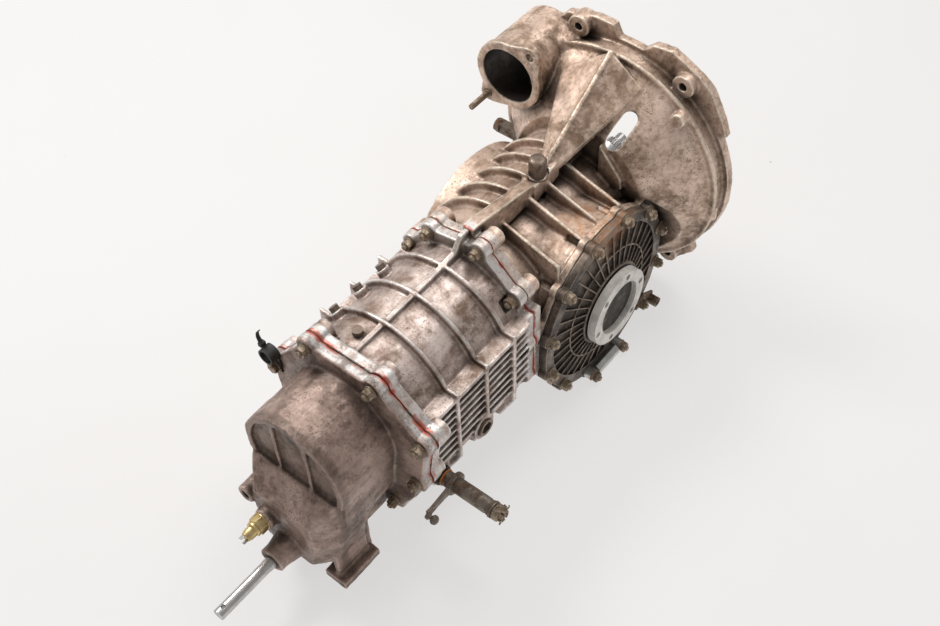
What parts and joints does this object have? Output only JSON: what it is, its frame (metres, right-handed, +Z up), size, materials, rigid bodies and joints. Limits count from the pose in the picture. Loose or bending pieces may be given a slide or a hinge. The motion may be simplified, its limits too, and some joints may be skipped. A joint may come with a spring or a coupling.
{
  "type": "transaxle",
  "caption": "Longitudinal manual transaxle with bell housing, ribbed gear housing, splined input shaft, differential with output flanges, sliding sleeves and selector rod.",
  "frame": {"origin": "tip of the input shaft pilot, on the shaft axis in the plane of the engine mating face", "axes": "+X along the input shaft towards the selector rod, +Y towards the side cover, +Z up"},
  "size_m": [0.783, 0.358, 0.39],
  "materials": {
    "main_casting": "dirty sand-cast",
    "gear_casting": "sand-cast, speckled",
    "nose_casting": "oily sand-cast",
    "cover_casting": "oil-blackened",
    "gasket": "paper",
    "sealant": "cured sealant",
    "fasteners": "dull zinc with rust",
    "spacers": "bright",
    "bracket": "rusty sheet",
    "plugs": "dull",
    "switch": "yellow passivated",
    "black_rubber": "matte",
    "bearing_steel": "ground",
    "shaft_steel": "machined",
    "gear_steel": "oiled",
    "fork_bronze": "cast bronze",
    "bright_rod": "bright",
    "case_iron": "oiled",
    "flange_steel": "machined, lightly stained",
    "lever_steel": "dull"
  },
  "bodies": {
    "housing": {"bell_housing": "main_casting", "starter_mount": "main_casting", "main_housing": "main_casting", "gear_housing": "gear_casting", "nose_cover": "nose_casting", "side_cover": "cover_casting", "side_cover_gasket": "gasket", "rear_joint_gasket": "sealant", "front_joint_gasket": "sealant", "side_cover_nuts": "fasteners", "rear_joint_nuts": "fasteners", "front_joint_nuts": "fasteners", "cover_spacers": "spacers", "wire_bracket": "bracket", "top_plug": "plugs", "oil_plugs": "plugs", "detent_plugs": "plugs", "reverse_switch": "switch", "cable_clip": "black_rubber", "clip_bolt": "fasteners", "starter_stud": "fasteners", "shaft_seals": "black_rubber", "shaft_bearings": "bearing_steel", "diff_bearings": "bearing_steel", "release_guide_tube": "shaft_steel", "fork_pivot": "shaft_steel", "cross_shaft": "lever_steel", "cross_shaft_nut": "fasteners", "idler_shaft": "shaft_steel"},
    "input_line": {"input_shaft": "shaft_steel", "drive_gears": "gear_steel"},
    "pinion_line": {"pinion_shaft": "shaft_steel", "synchro_hubs": "gear_steel"},
    "first_gear": {"first_gear": "gear_steel"},
    "second_gear": {"second_gear": "gear_steel"},
    "third_gear": {"third_gear": "gear_steel"},
    "fourth_gear": {"fourth_gear": "gear_steel"},
    "fifth_gear": {"fifth_gear": "gear_steel"},
    "reverse_gear": {"reverse_gear": "gear_steel"},
    "reverse_idler": {"reverse_idler": "gear_steel"},
    "sleeve_1_2": {"sleeve_1_2": "gear_steel"},
    "sleeve_3_4": {"sleeve_3_4": "gear_steel"},
    "sleeve_5_r": {"sleeve_5_r": "gear_steel"},
    "shift_fork_1_2": {"shift_fork_1_2": "fork_bronze"},
    "shift_fork_3_4": {"shift_fork_3_4": "fork_bronze"},
    "shift_fork_5_r": {"shift_fork_5_r": "fork_bronze"},
    "selector_guide": {"selector_guide": "shaft_steel"},
    "selector_rod": {"selector_rod": "bright_rod"},
    "differential": {"diff_case": "case_iron", "ring_gear": "gear_steel", "spider_pin": "shaft_steel"},
    "upper_spider_gear": {"upper_spider_gear": "gear_steel"},
    "lower_spider_gear": {"lower_spider_gear": "gear_steel"},
    "left_drive": {"left_side_gear": "gear_steel", "left_output_flange": "flange_steel"},
    "right_drive": {"right_side_gear": "gear_steel", "right_output_flange": "flange_steel"},
    "clutch_fork": {"clutch_fork": "lever_steel"},
    "release_bearing": {"release_bearing": "bearing_steel"},
    "throttle_lever": {"throttle_lever": "lever_steel"}
  },
  "joints": [
    {"name": "input_spin", "type": "hinge", "parent": "housing", "child": "input_line", "pos_m": [0.3, 0, 0], "axis": [1, 0, 0], "continuous": true},
    {"name": "first_gear_spin", "type": "hinge", "parent": "housing", "child": "first_gear", "pos_m": [0.4, 0, -0.077], "axis": [1, 0, 0], "continuous": true},
    {"name": "second_gear_spin", "type": "hinge", "parent": "housing", "child": "second_gear", "pos_m": [0.4, 0, -0.077], "axis": [1, 0, 0], "continuous": true},
    {"name": "third_gear_spin", "type": "hinge", "parent": "housing", "child": "third_gear", "pos_m": [0.4, 0, -0.077], "axis": [1, 0, 0], "continuous": true},
    {"name": "fourth_gear_spin", "type": "hinge", "parent": "housing", "child": "fourth_gear", "pos_m": [0.4, 0, -0.077], "axis": [1, 0, 0], "continuous": true},
    {"name": "fifth_gear_spin", "type": "hinge", "parent": "housing", "child": "fifth_gear", "pos_m": [0.4, 0, -0.077], "axis": [1, 0, 0], "continuous": true},
    {"name": "reverse_gear_spin", "type": "hinge", "parent": "housing", "child": "reverse_gear", "pos_m": [0.4, 0, -0.077], "axis": [1, 0, 0], "continuous": true},
    {"name": "reverse_idler_spin", "type": "hinge", "parent": "housing", "child": "reverse_idler", "pos_m": [0.6, -0.03212, -0.01935], "axis": [1, 0, 0], "continuous": true},
    {"name": "differential_spin", "type": "hinge", "parent": "housing", "child": "differential", "pos_m": [0.19, 0, -0.077], "axis": [0, 1, 0], "continuous": true},
    {"name": "pinion_spin", "type": "hinge", "parent": "housing", "child": "pinion_line", "pos_m": [0.4, 0, -0.077], "axis": [1, 0, 0], "continuous": true},
    {"name": "left_drive_spin", "type": "hinge", "parent": "differential", "child": "left_drive", "pos_m": [0.19, 0, -0.077], "axis": [0, 1, 0], "continuous": true},
    {"name": "right_drive_spin", "type": "hinge", "parent": "differential", "child": "right_drive", "pos_m": [0.19, 0, -0.077], "axis": [0, 1, 0], "continuous": true},
    {"name": "upper_spider_spin", "type": "hinge", "parent": "differential", "child": "upper_spider_gear", "pos_m": [0.19, 0, -0.077], "axis": [0, 0, 1], "continuous": true},
    {"name": "lower_spider_spin", "type": "hinge", "parent": "differential", "child": "lower_spider_gear", "pos_m": [0.19, 0, -0.077], "axis": [0, 0, 1], "continuous": true},
    {"name": "fork_1_2_slide", "type": "slide", "parent": "housing", "child": "shift_fork_1_2", "axis": [1, 0, 0], "range_m": [-0.008, 0.008]},
    {"name": "fork_3_4_slide", "type": "slide", "parent": "housing", "child": "shift_fork_3_4", "axis": [1, 0, 0], "range_m": [-0.008, 0.008]},
    {"name": "fork_5_r_slide", "type": "slide", "parent": "housing", "child": "shift_fork_5_r", "axis": [1, 0, 0], "range_m": [-0.008, 0.008]},
    {"name": "sleeve_1_2_slide", "type": "slide", "parent": "pinion_line", "child": "sleeve_1_2", "axis": [1, 0, 0], "range_m": [-0.008, 0.008]},
    {"name": "sleeve_3_4_slide", "type": "slide", "parent": "pinion_line", "child": "sleeve_3_4", "axis": [1, 0, 0], "range_m": [-0.008, 0.008]},
    {"name": "sleeve_5_r_slide", "type": "slide", "parent": "pinion_line", "child": "sleeve_5_r", "axis": [1, 0, 0], "range_m": [-0.008, 0.008]},
    {"name": "selector_turn", "type": "hinge", "parent": "housing", "child": "selector_guide", "pos_m": [0.66, 0, -0.141], "axis": [1, 0, 0], "range_deg": [-18, 18]},
    {"name": "selector_slide", "type": "slide", "parent": "selector_guide", "child": "selector_rod", "axis": [1, 0, 0], "range_m": [-0.008, 0.008]},
    {"name": "clutch_fork_rock", "type": "hinge", "parent": "housing", "child": "clutch_fork", "pos_m": [0.078, -0.062, 0], "axis": [0, 0, 1], "range_deg": [0, 7]},
    {"name": "release_bearing_slide", "type": "slide", "parent": "housing", "child": "release_bearing", "axis": [-1, 0, 0], "range_m": [0, 0.008]},
    {"name": "throttle_lever_turn", "type": "hinge", "parent": "housing", "child": "throttle_lever", "pos_m": [0.505, 0.11, -0.105], "axis": [0, 1, 0], "range_deg": [-30, 30]}
  ],
  "couplings": [
    {"joint": "first_gear_spin", "follows": "input_spin", "ratio": -0.31429},
    {"joint": "second_gear_spin", "follows": "input_spin", "ratio": -0.54545},
    {"joint": "third_gear_spin", "follows": "input_spin", "ratio": -0.7931},
    {"joint": "fourth_gear_spin", "follows": "input_spin", "ratio": -1.08},
    {"joint": "fifth_gear_spin", "follows": "input_spin", "ratio": -1.381},
    {"joint": "reverse_idler_spin", "follows": "input_spin", "ratio": -1.0833},
    {"joint": "reverse_gear_spin", "follows": "input_spin", "ratio": 0.40625},
    {"joint": "pinion_spin", "follows": "differential_spin", "ratio": -4.4286},
    {"joint": "right_drive_spin", "follows": "left_drive_spin", "ratio": -1},
    {"joint": "upper_spider_spin", "follows": "left_drive_spin", "ratio": -1.6},
    {"joint": "lower_spider_spin", "follows": "left_drive_spin", "ratio": 1.6},
    {"joint": "sleeve_1_2_slide", "follows": "fork_1_2_slide", "ratio": 1},
    {"joint": "sleeve_3_4_slide", "follows": "selector_slide", "ratio": 1},
    {"joint": "sleeve_5_r_slide", "follows": "fork_5_r_slide", "ratio": 1},
    {"joint": "fork_3_4_slide", "follows": "selector_slide", "ratio": 1},
    {"joint": "release_bearing_slide", "follows": "clutch_fork_rock", "m_per_rad": 0.065481}
  ]
}
